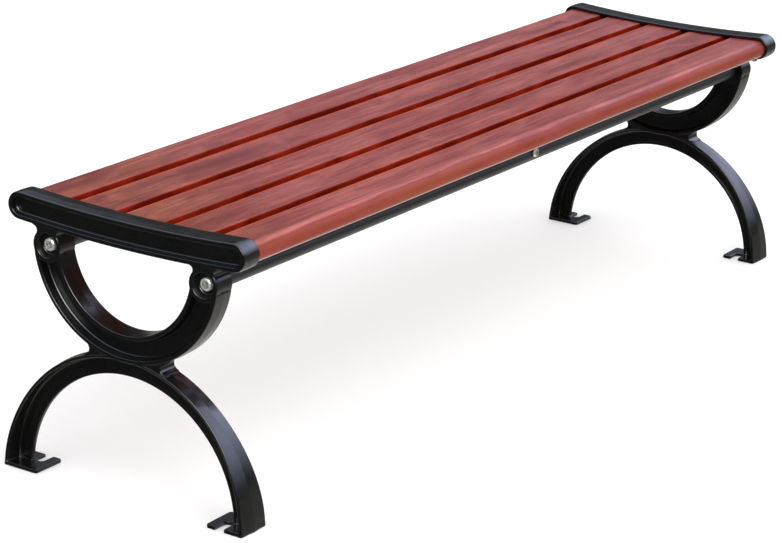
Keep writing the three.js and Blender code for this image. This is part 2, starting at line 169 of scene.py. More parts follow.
def even_shading(piece):
    """Flat faces keep their own normals, and the roundings between them shade smoothly."""
    piece.modifiers.new("even_shading", "WEIGHTED_NORMAL").keep_sharp = True
    return piece


def loft(name, rings, caps=True):
    """A closed skin over rings of points with the same number of points each."""
    count = len(rings[0])
    vertices = [tuple(Vector(point) * MM) for ring in rings for point in ring]
    faces = []
    for i in range(len(rings) - 1):
        for j in range(count):
            k = (j + 1) % count
            faces.append((i * count + j, i * count + k, (i + 1) * count + k, (i + 1) * count + j))
    if caps:
        faces.append(tuple(reversed(range(count))))
        faces.append(tuple((len(rings) - 1) * count + j for j in range(count)))
    return even_shading(new_object(name, vertices, faces))


# ---- the casting as a distance field ----

def round_meet(a, b, radius):
    """The overlap of two solids, with its edge rounded."""
    inner = np.minimum(np.maximum(a, b), -radius)
    return inner + np.hypot(np.maximum(a + radius, 0), np.maximum(b + radius, 0))


def round_join(a, b, radius):
    """The union of two solids, with a fillet between them."""
    outer = np.maximum(np.minimum(a, b), radius)
    return outer - np.hypot(np.maximum(radius - a, 0), np.maximum(radius - b, 0))


def most(*fields):
    """The sharp overlap of several solids."""
    result = fields[0]
    for field in fields[1:]:
        result = np.maximum(result, field)
    return result


def least(*fields):
    """The sharp union of several solids."""
    result = fields[0]
    for field in fields[1:]:
        result = np.minimum(result, field)
    return result


def dished_bar(y, z, shape, inset=0):
    """Distance outside a round-ended bar, bent along a shallow dish."""
    below = BAR_MIDDLE_Z + shape["dish"] - z
    along = shape["dish"] * np.arctan2(y, below)
    above = shape["dish"] - np.hypot(y, below)
    straight = shape["half_width"] - shape["half_height"]
    reach = shape["dish"] * math.asin(straight / shape["dish"])
    beyond = np.maximum(np.abs(along) - reach, 0)
    return np.hypot(beyond, above) - shape["half_height"] + inset


def ellipse(y, z, halves):
    """Distance outside an ellipse round the origin; the small terms keep its centre finite."""
    near = np.hypot(y / halves[0], z / halves[1]) + 1e-6
    steep = np.hypot(y / halves[0] ** 2, z / halves[1] ** 2) + 1e-9
    return near * (near - 1) / steep


def circle(y, z, middle_y, middle_z, radius):
    """Distance outside a circle."""
    return np.hypot(y - middle_y, z - middle_z) - radius


def boss_outline(y, z):
    return circle(abs(y), z, BOSS_Y, BOSS_Z, BOSS_RADIUS)


def below_line(y, z, to_y, to_z, way):
    """Distance below the line from a boss's centre to a notch's centre."""
    run, rise = to_y - BOSS_Y, to_z - BOSS_Z
    return way * ((y - BOSS_Y) * rise - (z - BOSS_Z) * run) / math.hypot(run, rise)


def neck_outline(y, z):
    """The stub between a boss and the bar, with a round notch on each side."""
    y = abs(y)
    outer, inner = NECK_NOTCHES
    lines = [below_line(y, z, *outer[:2], 1), below_line(y, z, *inner[:2], -1)]
    notches = [-circle(y, z, *notch) for notch in NECK_NOTCHES]
    return most(y - outer[0], inner[0] - y, z - NECK_TOP, *lines, *notches)


def crotch_outline(y, z):
    """The filling between the bottom of the U and the crown of the arch."""
    u = ellipse(y, z - U_CENTRE_Z, U_OUTER) + CROTCH_OVERLAP
    arch = np.hypot(y, z - ARCH_CENTRE_Z) - ARCH_OUTER + CROTCH_OVERLAP
    notch = -circle(abs(y), z, *CROTCH_NOTCH)
    return most(-u, -arch, abs(y) - CROTCH_NOTCH[0], z - U_CENTRE_Z + U_INNER[1], notch)


def upper_part(x, y, z):
    """Bar, bosses, necks, U and crotch, without the lower arch."""
    side = abs(x)
    taper = side / HALF_DEPTH
    outer = ellipse(y, z - U_CENTRE_Z, U_OUTER)
    inner = ellipse(y, z - U_CENTRE_Z, U_INNER)
    u = most(round_meet(outer, z - BOSS_Z, U_TOP_ROUNDING), -inner) + FLANGE_DRAFT * taper
    bar = dished_bar(y, z, BAR) + BAR_DRAFT * taper
    boss = boss_outline(y, z)
    outline = least(bar, boss, neck_outline(y, z), u)
    body = round_meet(outline, side - HALF_DEPTH, EDGE)
    crotch = round_meet(crotch_outline(y, z), side - CROTCH_HALF_DEPTH, EDGE)
    body = least(body, crotch)

    draft = CHANNEL_DRAFT * (HALF_DEPTH - side) / (HALF_DEPTH - U_HALF_WEB)
    channel = most(outer + U_FLANGE, U_FLANGE - inner, z - BOSS_Z) + draft
    channel = round_meet(channel, -boss, CORNER_FILLET)
    channel = round_meet(channel, U_HALF_WEB - side, FILLET)
    body = round_meet(body, -channel, INNER_EDGE)

    draft = PANEL["draft"] * (x + HALF_DEPTH) / (PANEL["floor_x"] + HALF_DEPTH)
    panel = dished_bar(y, z, BAR, PANEL["rim"]) + draft
    panel = round_meet(panel, x - PANEL["floor_x"], FILLET)
    body = round_meet(body, -panel, INNER_EDGE)

    pocket = most(dished_bar(y, z, POCKET), POCKET_FLOOR_X - x)
    body = round_meet(body, -pocket, POCKET_EDGE)

    slope = (COUNTERBORE["mouth"] - COUNTERBORE["floor"]) / COUNTERBORE["depth"]
    from_axis = np.hypot(abs(y) - BOSS_Y, z - BOSS_Z)
    bore = from_axis - COUNTERBORE["mouth"] + slope * (x + HALF_DEPTH)
    bore = round_meet(bore, x + HALF_DEPTH - COUNTERBORE["depth"], CORNER_FILLET)
    body = round_meet(body, -bore, INNER_EDGE)
    return most(body, BOSS_HOLE - from_axis)


def lower_part(x, y, z):
    """The lower arch, with its flange, web and bead, and the two foot pads."""
    side = abs(x)
    s = np.clip((FLARE_HEIGHT - z) / FLARE_HEIGHT, 0, 1)
    half_depth = HALF_DEPTH + (FOOT_HALF_DEPTH - HALF_DEPTH) * s * s * (3 - 2 * s)
    radius = np.hypot(y, z - ARCH_CENTRE_Z)
    middle = ARCH_OUTER - ARCH_FLANGE / 2
    flange = abs(radius - middle) - ARCH_FLANGE / 2 + ARCH_RIDGE * side / half_depth
    flange = round_meet(flange, side - half_depth, EDGE)
    web = most(radius - middle, ARCH_BEAD["radius"] - radius, side - ARCH_HALF_WEB)
    bead = abs(radius - ARCH_BEAD["radius"]) - ARCH_BEAD["half_width"]
    bead = round_meet(bead, side - ARCH_BEAD["half_depth"], BEAD_ROUNDING)
    arch = round_join(flange, round_join(web, bead, BEAD_ROUNDING), FILLET)

    corner = PAD["corner"]
    half_y = (PAD["outer"] - PAD["inner"]) / 2
    qx = side - FOOT_HALF_DEPTH + corner
    qy = abs(abs(y) - (PAD["outer"] + PAD["inner"]) / 2) - half_y + corner
    plate = np.hypot(np.maximum(qx, 0), np.maximum(qy, 0)) + np.minimum(np.maximum(qx, qy), 0) - corner
    plate = round_meet(plate, z - PAD["thickness"], PAD_EDGE)
    foot = round_join(arch, plate, CORNER_FILLET)

    open_way = np.where(y > 0, x, -x)
    past = np.minimum(open_way - ANCHOR_SLOT["centre_x"], 0)
    slot = np.hypot(past, abs(y) - ANCHOR_SLOT["y"]) - ANCHOR_SLOT["radius"]
    slot = most(slot, z - ANCHOR_SLOT["top"])
    return round_meet(foot, -slot, POCKET_EDGE)


def casting_field(x, y, z):
    """One whole casting, standing on the floor."""
    return most(least(upper_part(x, y, z), lower_part(x, y, z)), -z)


CELL = 1.3
MARGIN = 2
SLOPE_STEP = 0.04
CASTING_TRIANGLES = 190000
LEAST_SLOPE = 0.05
# Each pass lets a point move by a share of a cell, and takes a number of rounds.
NET_PASS = (0.75, 4)
THINNED_PASS = (0.3, 2)


def slope_of(field, points):
    """The field's gradient at each point."""
    columns = []
    for axis in range(3):
        ahead, behind = points.copy(), points.copy()
        ahead[:, axis] += SLOPE_STEP
        behind[:, axis] -= SLOPE_STEP
        columns.append((field(*ahead.T) - field(*behind.T)) / (2 * SLOPE_STEP))
    return np.stack(columns, axis=1)


def settled(field, points, share, rounds):
    """Points moved onto the surface, each by no more than a share of a cell along any axis."""
    start = points.copy()
    limit = CELL * share
    for _ in range(rounds):
        slope = slope_of(field, points)
        length = np.maximum((slope**2).sum(axis=1), LEAST_SLOPE)
        points = points - (field(*points.T) / length)[:, None] * slope
        points = np.clip(points, start - limit, start + limit)
    return points


def surface_net(field, low, high, cell):
    """Points and quads of the surface where the field is zero."""
    axes = [np.arange(a, b + cell, cell) for a, b in zip(low, high)]
    inside = field(*np.meshgrid(*axes, indexing="ij", sparse=True)) < 0
    corners = np.zeros([n - 1 for n in inside.shape], np.int8)
    for dx in (0, 1):
        for dy in (0, 1):
            for dz in (0, 1):
                nx, ny, nz = corners.shape
                corners += inside[dx:dx + nx, dy:dy + ny, dz:dz + nz]
    crossed = (corners > 0) & (corners < 8)
    ids = np.full(corners.shape, -1, np.int64)
    ids[crossed] = np.arange(crossed.sum())
    points = np.argwhere(crossed) * cell + np.array(low) + cell / 2
    quads = []
    for axis in range(3):
        order = (axis, (axis + 1) % 3, (axis + 2) % 3)
        turned = np.moveaxis(inside, order, (0, 1, 2))[:, 1:-1, 1:-1]
        cells = np.moveaxis(ids, order, (0, 1, 2))
        for change, way in ((turned[:-1] & ~turned[1:], 1), (~turned[:-1] & turned[1:], -1)):
            i, j, k = np.nonzero(change)
            ring = [cells[i, j, k], cells[i, j + 1, k], cells[i, j + 1, k + 1], cells[i, j, k + 1]]
            quads.append(np.stack(ring[::way], axis=1))
    return points, np.concatenate(quads)


def thinned(piece, triangles):
    """The piece's mesh with about that many triangles, kept finest where it curves most."""
    modifier = piece.modifiers.new("thinning", "DECIMATE")
    modifier.ratio = min(1, triangles / (2 * len(piece.data.polygons)))
    evaluated = piece.evaluated_get(bpy.context.evaluated_depsgraph_get())
    mesh = bpy.data.meshes.new_from_object(evaluated)
    piece.modifiers.clear()
    piece.data = mesh
    return piece


def casting_mesh():
    """The left casting, as a mesh with the field's own normals."""
    low = (-FOOT_HALF_DEPTH - MARGIN, -ARCH_OUTER - MARGIN, -MARGIN)
    high = (FOOT_HALF_DEPTH + MARGIN, ARCH_OUTER + MARGIN, CAST_HIGH.z + MARGIN)
    points, quads = surface_net(casting_field, low, high, CELL)
    points = settled(casting_field, points, *NET_PASS)
    piece = new_object("casting_left", (points * MM).tolist(), quads.tolist())
    piece = thinned(piece, CASTING_TRIANGLES)
    mesh = piece.data
    flat = np.zeros(len(mesh.vertices) * 3)
    mesh.vertices.foreach_get("co", flat)
    points = settled(casting_field, flat.reshape(-1, 3) / MM, *THINNED_PASS)
    mesh.vertices.foreach_set("co", (points * MM).ravel())
    mesh.shade_smooth()
    slope = slope_of(casting_field, points)
    normals = slope / np.maximum(np.linalg.norm(slope, axis=1), 1e-6)[:, None]
    mesh.normals_split_custom_set_from_vertices(normals.tolist())
    return piece


def castings(paint):
    """Both end frames, the right one turned half a turn."""
    left = casting_mesh()
    left.location.x = -CASTING_X * MM
    right = left.copy()
    right.name = "casting_right"
    right.location.x = CASTING_X * MM
    right.rotation_euler.z = math.pi
    bpy.context.scene.collection.objects.link(right)
    for piece, node in ((left, "end_frame_left"), (right, "end_frame_right")):
        finished(piece, paint, "cast_paint", node)


def finished(piece, material, slot, *nodes):
    """Gives a piece its material and its body, and hides the CAD nodes that it stands for."""
    piece.data.materials.clear()
    piece.data.materials.append(material)
    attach(piece, "root")
    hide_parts(*nodes)


# ---- slats ----

def corner_arc(i, middle, radius, steps):
    """Points along the quarter circle at a section's corner i."""
    start = -math.pi / 2 + i * math.pi / 2
    end = start + math.pi / 2
    turns = [start + (end - start) * j / steps for j in range(steps + 1)]
    return [(middle[0] + radius * math.cos(t), middle[1] + radius * math.sin(t)) for t in turns]


def slat_section(open_edge):
    """(across, above) points round a slat; open_edge is -1 or 1 for a full round on that side.

    Each point also has its share of gap: 0 on top, and 1 or -1 on the side facing the next slat.
    """
    points, gap = [], []
    for i, (side, up) in enumerate(CORNERS):
        full = side == open_edge
        r = SLAT["nose"] if full else SLAT["edge"]
        middle = (side * (SLAT["half_width"] - r), up * (SLAT["half_thickness"] - r))
        corner = corner_arc(i, middle, r, NOSE_STEPS if full else EDGE_STEPS)
        points += corner
        gap += [0 if full else side * abs(across - middle[0]) / r for across, _ in corner]
        if (side, up) == (1, 1):
            points.append((middle[0] - EDGE_LINE, middle[1] + r))
            gap.append(0)
            gap[-2] = 0 if full else EDGE_LINE_SHARE
    return points, gap


def slat_angle(i):
    """How far a slat leans with the seat's dish."""
    return (i - (SLAT_COUNT - 1) / 2) * SLAT["pitch"] / POCKET["dish"]


def wave(size, x, off, i):
    """A slow wave along a slat, which fades out at both ends."""
    free = 1 - (x / SLAT_HALF_LENGTH) ** WAVE_FADE
    return SLAT_WAVE * free * math.sin(x / size["along"] + size["shift"] * i + off / size["across"])


def slat_board(i):
    """One slat, leaning with the seat's dish, with the slight waviness of planed timber."""
    angle = slat_angle(i)
    lean = Matrix.Rotation(angle, 3, "X")
    centre_z = BAR_MIDDLE_Z + POCKET["dish"]
    middle = Vector((0, POCKET["dish"] * math.sin(angle), centre_z - POCKET["dish"] * math.cos(angle)))
    section, gap = slat_section({0: -1, SLAT_COUNT - 1: 1}.get(i, 0))
    rings = []
    for station in range(SLAT_STATIONS + 1):
        x = SLAT_HALF_LENGTH * (2 * station / SLAT_STATIONS - 1)
        ring = []
        for across, above in section:
            lift = wave(LIFT_WAVE, x, across, i)
            sway = wave(SWAY_WAVE, x, above, i)
            ring.append(middle + lean @ Vector((x, across + sway, above + lift)))
        rings.append(ring)
    board = loft(f"slat_board_{i + 1}", rings)
    shares = board.data.attributes.new("gap", "FLOAT", "POINT")
    shares.data.foreach_set("value", gap * len(rings))
    return board


# ---- rails, strap and fasteners ----

def rail_tube(side, sign, paint):
    """A round tube with eased ends."""
    outer, bore, ease = RAIL["radius"], RAIL["bore"], RAIL["ease"]
    end = RAIL_HALF_LENGTH
    profile = [(-end, bore + ease), (-end, outer - ease), (ease - end, outer)]
    profile += [(end * (2 * i / RAIL_STATIONS - 1), outer) for i in range(1, RAIL_STATIONS)]
    profile += [(end - ease, outer), (end, outer - ease), (end, bore + ease), (end - ease, bore)]
    profile += [(ease - end, bore)]
    turns = [2 * math.pi * j / RAIL_SIDES for j in range(RAIL_SIDES)]
    y = sign * BOSS_Y
    rings = [[(x, y + r * math.cos(t), BOSS_Z + r * math.sin(t)) for t in turns] for x, r in profile]
    tube = loft(f"rail_tube_{side}", rings, caps=False)
    close_ring(tube, len(rings), RAIL_SIDES)
    finished(tube, paint, "rail_paint", f"rail_{side}")


def close_ring(piece, rings, count):
    """Joins the last ring of a loft to its first."""
    mesh = piece.data
    vertices = [v.co[:] for v in mesh.vertices]
    faces = [tuple(p.vertices) for p in mesh.polygons]
    last = (rings - 1) * count
    faces += [(last + j, last + (j + 1) % count, (j + 1) % count, j) for j in range(count)]
    mesh.clear_geometry()
    mesh.from_pydata(vertices, [], faces)
    mesh.shade_smooth()


def button_head(name, size):
    """A domed bolt or screw head with a hexagon socket, standing on the origin, shank down -Z."""
    head, tall, shank, length = size["head"], size["tall"], size["shank"], size["length"]
    socket, deep = size["socket"], size["deep"]
    fillet, ease, skirt, crown = HEAD["fillet"], HEAD["ease"], HEAD["skirt"] * tall, HEAD["crown"] * socket
    outline = [(SHANK_TIP["radius"] * shank, -length), (shank, SHANK_TIP["height"] * shank - length)]
    outline += [(shank, -fillet), (shank + fillet, 0), (head - ease, 0), (head, ease), (head, skirt)]
    for step in range(1, HEAD["steps"] + 1):
        lean = step / HEAD["steps"] * math.pi / 2
        outline.append((crown + (head - crown) * math.cos(lean), skirt + (tall - skirt) * math.sin(lean)))
    turns = [2 * math.pi * j / HEAD["sides"] for j in range(HEAD["sides"])]
    rings = [[(r * math.cos(t), r * math.sin(t), z) for t in turns] for r, z in outline]
    for grow, down in SOCKET_RINGS:
        ring = []
        for t in turns:
            turn = (t + math.pi / 6) % (math.pi / 3) - math.pi / 6
            r = grow * socket * math.cos(math.pi / 6) / math.cos(turn)
            ring.append((r * math.cos(t), r * math.sin(t), tall - down * deep))
        rings.append(ring)
    return loft(name, rings)


def fasteners(zinc):
    """Every bolt and screw."""
    for side, sign in SIDES:
        for end, way in ENDS:
            place_head(f"bolt_{side}_{end}", f"frame_bolt_{side}_{end}", FRAME_BOLT, (way, 0, 0), zinc)
        place_head(f"bolt_strap_{side}", f"strap_bolt_{side}", STRAP_BOLT, (0, sign, 0), zinc)
    for i in range(SLAT_COUNT):
        angle = slat_angle(i)
        down = (0, math.sin(angle), -math.cos(angle))
        for end, _ in ENDS:
            place_head(f"screw_{end}_{i + 1}", f"slat_screw_{end}_{i + 1}", END_SCREW, down, zinc)
        if 0 < i < SLAT_COUNT - 1:
            place_head(f"screw_strap_{i + 1}", f"strap_screw_{i + 1}", STRAP_SCREW, down, zinc)


def place_head(name, node, size, way, zinc):
    """Puts a bolt or screw where its CAD node is, with its head facing the given way."""
    low, high = box_mm(node)
    direction = Vector(way)
    centre = (low + high) / 2
    reach = size["tall"] + size["length"]
    piece = button_head(name, size)
    seat = centre + direction * (reach / 2 - size["tall"])
    turned = direction.to_track_quat("Z", "X").to_matrix().to_4x4()
    piece.matrix_world = Matrix.Translation(seat * MM) @ turned
    finished(piece, zinc, "zinc", node)


def strap_path():
    """The strap's middle line in Y and Z, with rounded bends."""
    below = SLAT["half_thickness"] + CLEARANCE + STRAP["thickness"] / 2
    half = []
    for y in (STRAP_BENDS["middle"], STRAP_BENDS["shoulder"]):
        half.append((y, BAR_MIDDLE_Z - below + y * y / (2 * POCKET["dish"])))
    face = BOSS_Y - RAIL["radius"] - CLEARANCE - STRAP["thickness"] / 2
    half += [(face, BOSS_Z + RAIL["radius"]), (face, STRAP_BENDS["end_z"])]
    corners = [(-y, z) for y, z in reversed(half)] + half
    return eased(corners, STRAP_BENDS["cut"])


def eased(corners, cut):
    """The path with each inner corner replaced by a short curve."""
    path = [Vector(corners[0])]
    for before, here, after in zip(corners, corners[1:], corners[2:]):
        a, b, c = Vector(before), Vector(here), Vector(after)
        start = b + (a - b).normalized() * min(cut, (a - b).length / LEAST_CUTS_PER_SIDE)
        end = b + (c - b).normalized() * min(cut, (c - b).length / LEAST_CUTS_PER_SIDE)
        for step in range(BEND_STEPS + 1):
            t = step / BEND_STEPS
            path.append((1 - t) ** 2 * start + 2 * t * (1 - t) * b + t * t * end)
    path.append(Vector(corners[-1]))
    return path


def strap_band(paint):
    """A flat steel strip bent along its path, with rounded edges."""
    half_w, half_t = STRAP["half_width"], STRAP["thickness"] / 2
    r = STRAP["rounding"]
    section = []
    for i, (side, up) in enumerate(CORNERS):
        section += corner_arc(i, (side * (half_w - r), up * (half_t - r)), r, STRAP_EDGE_STEPS)
    path = strap_path()
    rings = []
    for i, point in enumerate(path):
        along = (path[min(i + 1, len(path) - 1)] - path[max(i - 1, 0)]).normalized()
        normal = Vector((-along.y, along.x))
        rings.append([(STRAP["x"] + u, *(point + normal * v)) for u, v in section])
    finished(loft("strap_band", rings), paint, "rail_paint", "cross_strap")


# ---- materials ----

class Nodes:
    """A node tree, built one node at a time."""

    def __init__(self, tree):
        self.tree = tree

    def node(self, kind, inputs=(), **settings):
        made = self.tree.nodes.new("ShaderNode" + kind)
        for key, value in settings.items():
            setattr(made, key, value)
        for key, value in dict(inputs).items():
            self.feed(made.inputs[key], value)
        return made

    def feed(self, socket, value):
        if isinstance(value, bpy.types.NodeSocket):
            self.tree.links.new(value, socket)
        else:
            socket.default_value = value

    def math(self, operation, *values):
        return self.node("Math", dict(enumerate(values)), operation=operation).outputs[0]

    def spread(self, value, low, high, to_low=0, to_high=1):
        """The value carried from low..high to to_low..to_high, and kept between them."""
        inputs = {"Value": value, "From Min": low, "From Max": high, "To Min": to_low, "To Max": to_high}
        return self.node("MapRange", inputs).outputs[0]

    def ramp(self, value, *stops):
        """A colour that changes along (position, colour) stops."""
        made = self.node("ValToRGB", {"Fac": value})
        elements = made.color_ramp.elements
        while len(elements) < len(stops):
            elements.new(0.5)
        for element, (position, colour) in zip(elements, stops):
            element.position = position
            element.color = (*colour, 1)
        return made.outputs["Color"]

    def mix(self, share, a, b):
        """Colour a at share 0 and b at share 1, through the Mix node's colour sockets."""
        made = self.node("Mix", data_type="RGBA")
        self.feed(made.inputs[0], share)
        self.feed(made.inputs[6], a if isinstance(a, bpy.types.NodeSocket) else (*a, 1))
        self.feed(made.inputs[7], b if isinstance(b, bpy.types.NodeSocket) else (*b, 1))
        return made.outputs[2]


class Shader(Nodes):
    """A material with one Principled surface, drawn in the piece's own coordinates."""

    def __init__(self, name):
        self.material = bpy.data.materials.new(name)
        self.material.use_nodes = True
        super().__init__(self.material.node_tree)
        self.surface = self.tree.nodes["Principled BSDF"]
        self.place = self.node("TexCoord").outputs["Object"]

    def set(self, **values):
        for key, value in values.items():
            self.feed(self.surface.inputs[key.replace("_", " ")], value)

    def noise(self, where, scale, detail=3, roughness=0.5, distortion=0):
        values = {"Vector": where, "Scale": scale, "Detail": detail, "Roughness": roughness}
        return self.node("TexNoise", {**values, "Distortion": distortion}).outputs["Fac"]

    def stretched(self, scale, shift):
        values = {"Vector": self.place, "Scale": scale, "Location": shift}
        return self.node("Mapping", values).outputs["Vector"]

    def bump(self, height, distance, strength=1.0, below=None):
        values = {"Height": height, "Distance": distance, "Strength": strength}
        if below is not None:
            values["Normal"] = below
        return self.node("Bump", values).outputs["Normal"]


CAST_PAINT = {"dark": (0.003, 0.003, 0.003), "light": (0.0055, 0.0055, 0.005), "roughness": (0.17, 0.27)}
RAIL_PAINT = {"dark": (0.006, 0.006, 0.006), "light": (0.012, 0.012, 0.012), "roughness": (0.34, 0.44)}
PAINT_CLOUD = {"scale": 9, "dark": 0.35, "light": 0.7}
PAINT_SHINE = {"scale": 35, "detail": 4, "low": 0.3, "high": 0.7}
PAINT_IOR = 1.5
SWELL = {"scale": 55, "detail": 2, "height": 0.0004}
ORANGE_PEEL = {"scale": 900, "detail": 2, "height": 0.00002}


def gloss_paint(name, dark, light, roughness):
    """Gloss paint, slightly uneven in depth and shine, with a faint orange peel."""
    paint = Shader(name)
    cloud = paint.noise(paint.place, PAINT_CLOUD["scale"])
    stops = (PAINT_CLOUD["dark"], dark), (PAINT_CLOUD["light"], light)
    paint.set(Base_Color=paint.ramp(cloud, *stops), IOR=PAINT_IOR)
    shine = paint.noise(paint.place, PAINT_SHINE["scale"], PAINT_SHINE["detail"])
    paint.set(Roughness=paint.spread(shine, PAINT_SHINE["low"], PAINT_SHINE["high"], *roughness))
    normal = None
    for relief in (SWELL, ORANGE_PEEL):
        height = paint.noise(paint.place, relief["scale"], relief["detail"])
        normal = paint.bump(height, relief["height"], below=normal)
    paint.set(Normal=normal)
    return paint.material


ZINC_CLOUD = 180
ZINC_ROUGHNESS = (0.3, 0.7, 0.22, 0.32)
ZINC_METALLIC = 0.6
BRIGHT_ZINC = [(0.3, (0.8, 0.81, 0.8)), (0.7, (0.95, 0.95, 0.94))]
# Painted shade of the socket: its colour, and the radii in metres where it fades in.
SOCKET_SHADE_ZINC = (0.34, 0.36, 0.29)
SOCKET_SHADE_RADIUS = (0.0062, 0.0052)


def zinc_plate():
    """Bright zinc plating, with painted shade in and round the socket at the middle of a head."""
    zinc = Shader("zinc_plate")
    cloud = zinc.noise(zinc.place, ZINC_CLOUD)
    flat = zinc.node("VectorMath", {0: zinc.place, 1: (1, 1, 0)}, operation="MULTIPLY").outputs[0]
    from_axis = zinc.node("VectorMath", {0: flat}, operation="LENGTH").outputs["Value"]
    # Painted shade in and round the socket.
    dull = zinc.spread(from_axis, *SOCKET_SHADE_RADIUS)
    zinc.set(Base_Color=zinc.mix(dull, zinc.ramp(cloud, *BRIGHT_ZINC), SOCKET_SHADE_ZINC))
    zinc.set(Roughness=zinc.spread(cloud, *ZINC_ROUGHNESS), Metallic=ZINC_METALLIC)
    return zinc.material


# How fine each noise is along X, Y and Z, per metre.
GRAIN = {
    "knots": (2.4, 11, 11),
    "streaks": (1.1, 26, 26),
    "patches": (9, 24, 24),
    "mottle": (26, 160, 160),
    "fibres": (28, 480, 480),
    "rings": (3.5, 260, 260),
}
# Each noise's scale, detail, roughness and distortion.
FIGURE = {
    "streaks": (1.7, 6, 0.65, 0.5),
    "patches": (1, 4, 0.6, 0.8),
    "mottle": (1, 4, 0.65, 0.6),
    "fibres": (1, 4, 0.7, 0),
    "rings": (1, 5, 0.7, 0.8),
}
# How far the grain moves in X and in Y from one slat to the next.
SLAT_SHIFT = (3.1, 0.37)
KNOT_REACH = 0.34
KNOT_WARP = 1.1
TIMBER_DARK = (0.16, 0.016, 0.014)
TIMBER_MIDDLE = (0.33, 0.056, 0.045)
TIMBER_LIGHT = (0.47, 0.11, 0.08)
TIMBER_PALE = (0.44, 0.12, 0.095)
# Browner colours for the left end, painted in place of the weaker sheen there.
SHEENLESS_END_DARK = (0.17, 0.047, 0.018)
SHEENLESS_END_LIGHT = (0.36, 0.12, 0.055)
TIMBER_LINE = (0.1, 0.008, 0.006)
TIMBER_KNOT = (0.07, 0.009, 0.005)
TIMBER_NOSE = (0.25, 0.048, 0.025)
# Painted dark reflection: a dark line across the nose.
PAINTED_DARK_REFLECTION = (0.17, 0.016, 0.01)
# Painted highlight along the upper nose, where it turns down.
PAINTED_NOSE_HIGHLIGHT = (0.46, 0.125, 0.1)
# Painted highlight line along the front edge of each top.
PAINTED_EDGE_HIGHLIGHT = (0.5, 0.085, 0.035)
# Painted shade on the slat sides in the gaps, darker and paler by patches.
SHADED_GAP_DARK = (0.13, 0.008, 0.003)
SHADED_GAP_PALE = (0.3, 0.022, 0.009)
TIMBER_WARM = (0.38, 0.05, 0.03)
# Painted pale reflection along the lower arris of the nose.
PAINTED_ARRIS_REFLECTION = (0.6, 0.46, 0.34)

# Ramps: where each colour lies on a noise.
STREAKS = [(0.34, TIMBER_DARK), (0.5, TIMBER_MIDDLE), (0.64, TIMBER_LIGHT)]
END_PATCHES = [(0.4, SHEENLESS_END_DARK), (0.66, SHEENLESS_END_LIGHT)]
SHADED_GAP_PATCHES = [(0.4, SHADED_GAP_DARK), (0.65, SHADED_GAP_PALE)]
# Shares of a colour: where one starts and where it is full, then its values there if not 0 and 1.
PALE_PATCHES = (0.44, 0.66, 0, 0.55)
STAINS = [
    ("rings", (0.46, 0.62, 0, 0.72), TIMBER_LINE),
    ("fibres", (0.46, 0.64, 0, 0.65), TIMBER_LINE),
    ("mottle", (0.52, 0.66, 0, 0.5), TIMBER_WARM),
    ("knots", (0.6, 0.95, 0, 0.8), TIMBER_KNOT),
]
NEAR_END = {"start": -0.56, "start_step": 0.06, "full": -0.78, "full_step": 0.05}
NEAR_END_RINGS = (0.35, 0.6, 1, 0.5)
NOSE = {
    "highlight_lean": (0.2, 0.4),
    "highlight_patches": (0.4, 0.62, 0.1, 0.95),
    "sway": (0.35, 0.65, -0.12, 0.12),
    "figure": (0.4, 0.6, 0.4, 1),
    "dark_reflection": (0.5, 0.62, 0, 0.75),
    "face": (0.66, 0.8),
    "arris_upper": (-0.5, -0.7),
    "arris_lower": (-0.98, -0.85),
    "arris": (0, 1, 0, 0.6),
}
GAP = {"front": (0.02, 0.28), "front_end": (0.85, 0.55), "back": (-0.05, -0.35), "painted_shade": (0.45, 0.9)}
DULL_NOSE = (0.1, 0.45, 0, 0.8)
DULL_NEAR_END = 0.75
SATIN = {"roughness": (0.35, 0.65, 0.3, 0.44), "shine": (0, 1, 0.45, 0), "coat": (0, 1, 0.2, 0)}
COAT_ROUGHNESS = 0.3
# Bump distance and strength.
RING_RIDGES = (0.0008, 0.8)
FIBRE_RIDGES = (0.0002, 0.5)


def timber_grain(wood, i):
    """Noises stretched along the slat, different on each slat, with streaks that bend round knots."""
    shift = (SLAT_SHIFT[0] * i, SLAT_SHIFT[1] * i, 0)
    place = {name: wood.stretched(scale, shift) for name, scale in GRAIN.items()}
    cells = wood.node("TexVoronoi", {"Vector": place["knots"], "Scale": 1.0})
    knots = wood.spread(cells.outputs["Distance"], 0, KNOT_REACH, 1, 0)
    warp = wood.math("MULTIPLY", wood.math("POWER", knots, 2), KNOT_WARP)
    offset = wood.node("CombineXYZ", {"Y": warp, "Z": warp}).outputs[0]
    place["streaks"] = wood.node("VectorMath", {0: place["streaks"], 1: offset}, operation="ADD").outputs[0]
    grain = {name: wood.noise(place[name], *look) for name, look in FIGURE.items()}
    grain["knots"] = knots
    return grain


def near_end_share(wood, grain, i):
    """Up to 1 at the left end, which is painted browner, standing in for the weaker sheen there; it reaches
    further on the rear slats.
    """
    along = wood.node("SeparateXYZ", {0: wood.place}).outputs["X"]
    start = NEAR_END["start"] + NEAR_END["start_step"] * i
    full = NEAR_END["full"] + NEAR_END["full_step"] * i
    near = wood.spread(along, start, full)
    return wood.math("MULTIPLY", near, wood.spread(grain["rings"], *NEAR_END_RINGS))


def top_colour(wood, grain, near_end):
    """The stain on a slat's top: streaks and patches, with dark lines, warm mottle and knots, and the left
    end painted browner in place of sheen.
    """
    colour = wood.ramp(grain["streaks"], *STREAKS)
    colour = wood.mix(wood.spread(grain["patches"], *PALE_PATCHES), colour, TIMBER_PALE)
    # The left end painted browner in place of sheen.
    colour = wood.mix(near_end, colour, wood.ramp(grain["patches"], *END_PATCHES))
    for name, share, stain in STAINS:
        colour = wood.mix(wood.spread(grain[name], *share), colour, stain)
    return colour


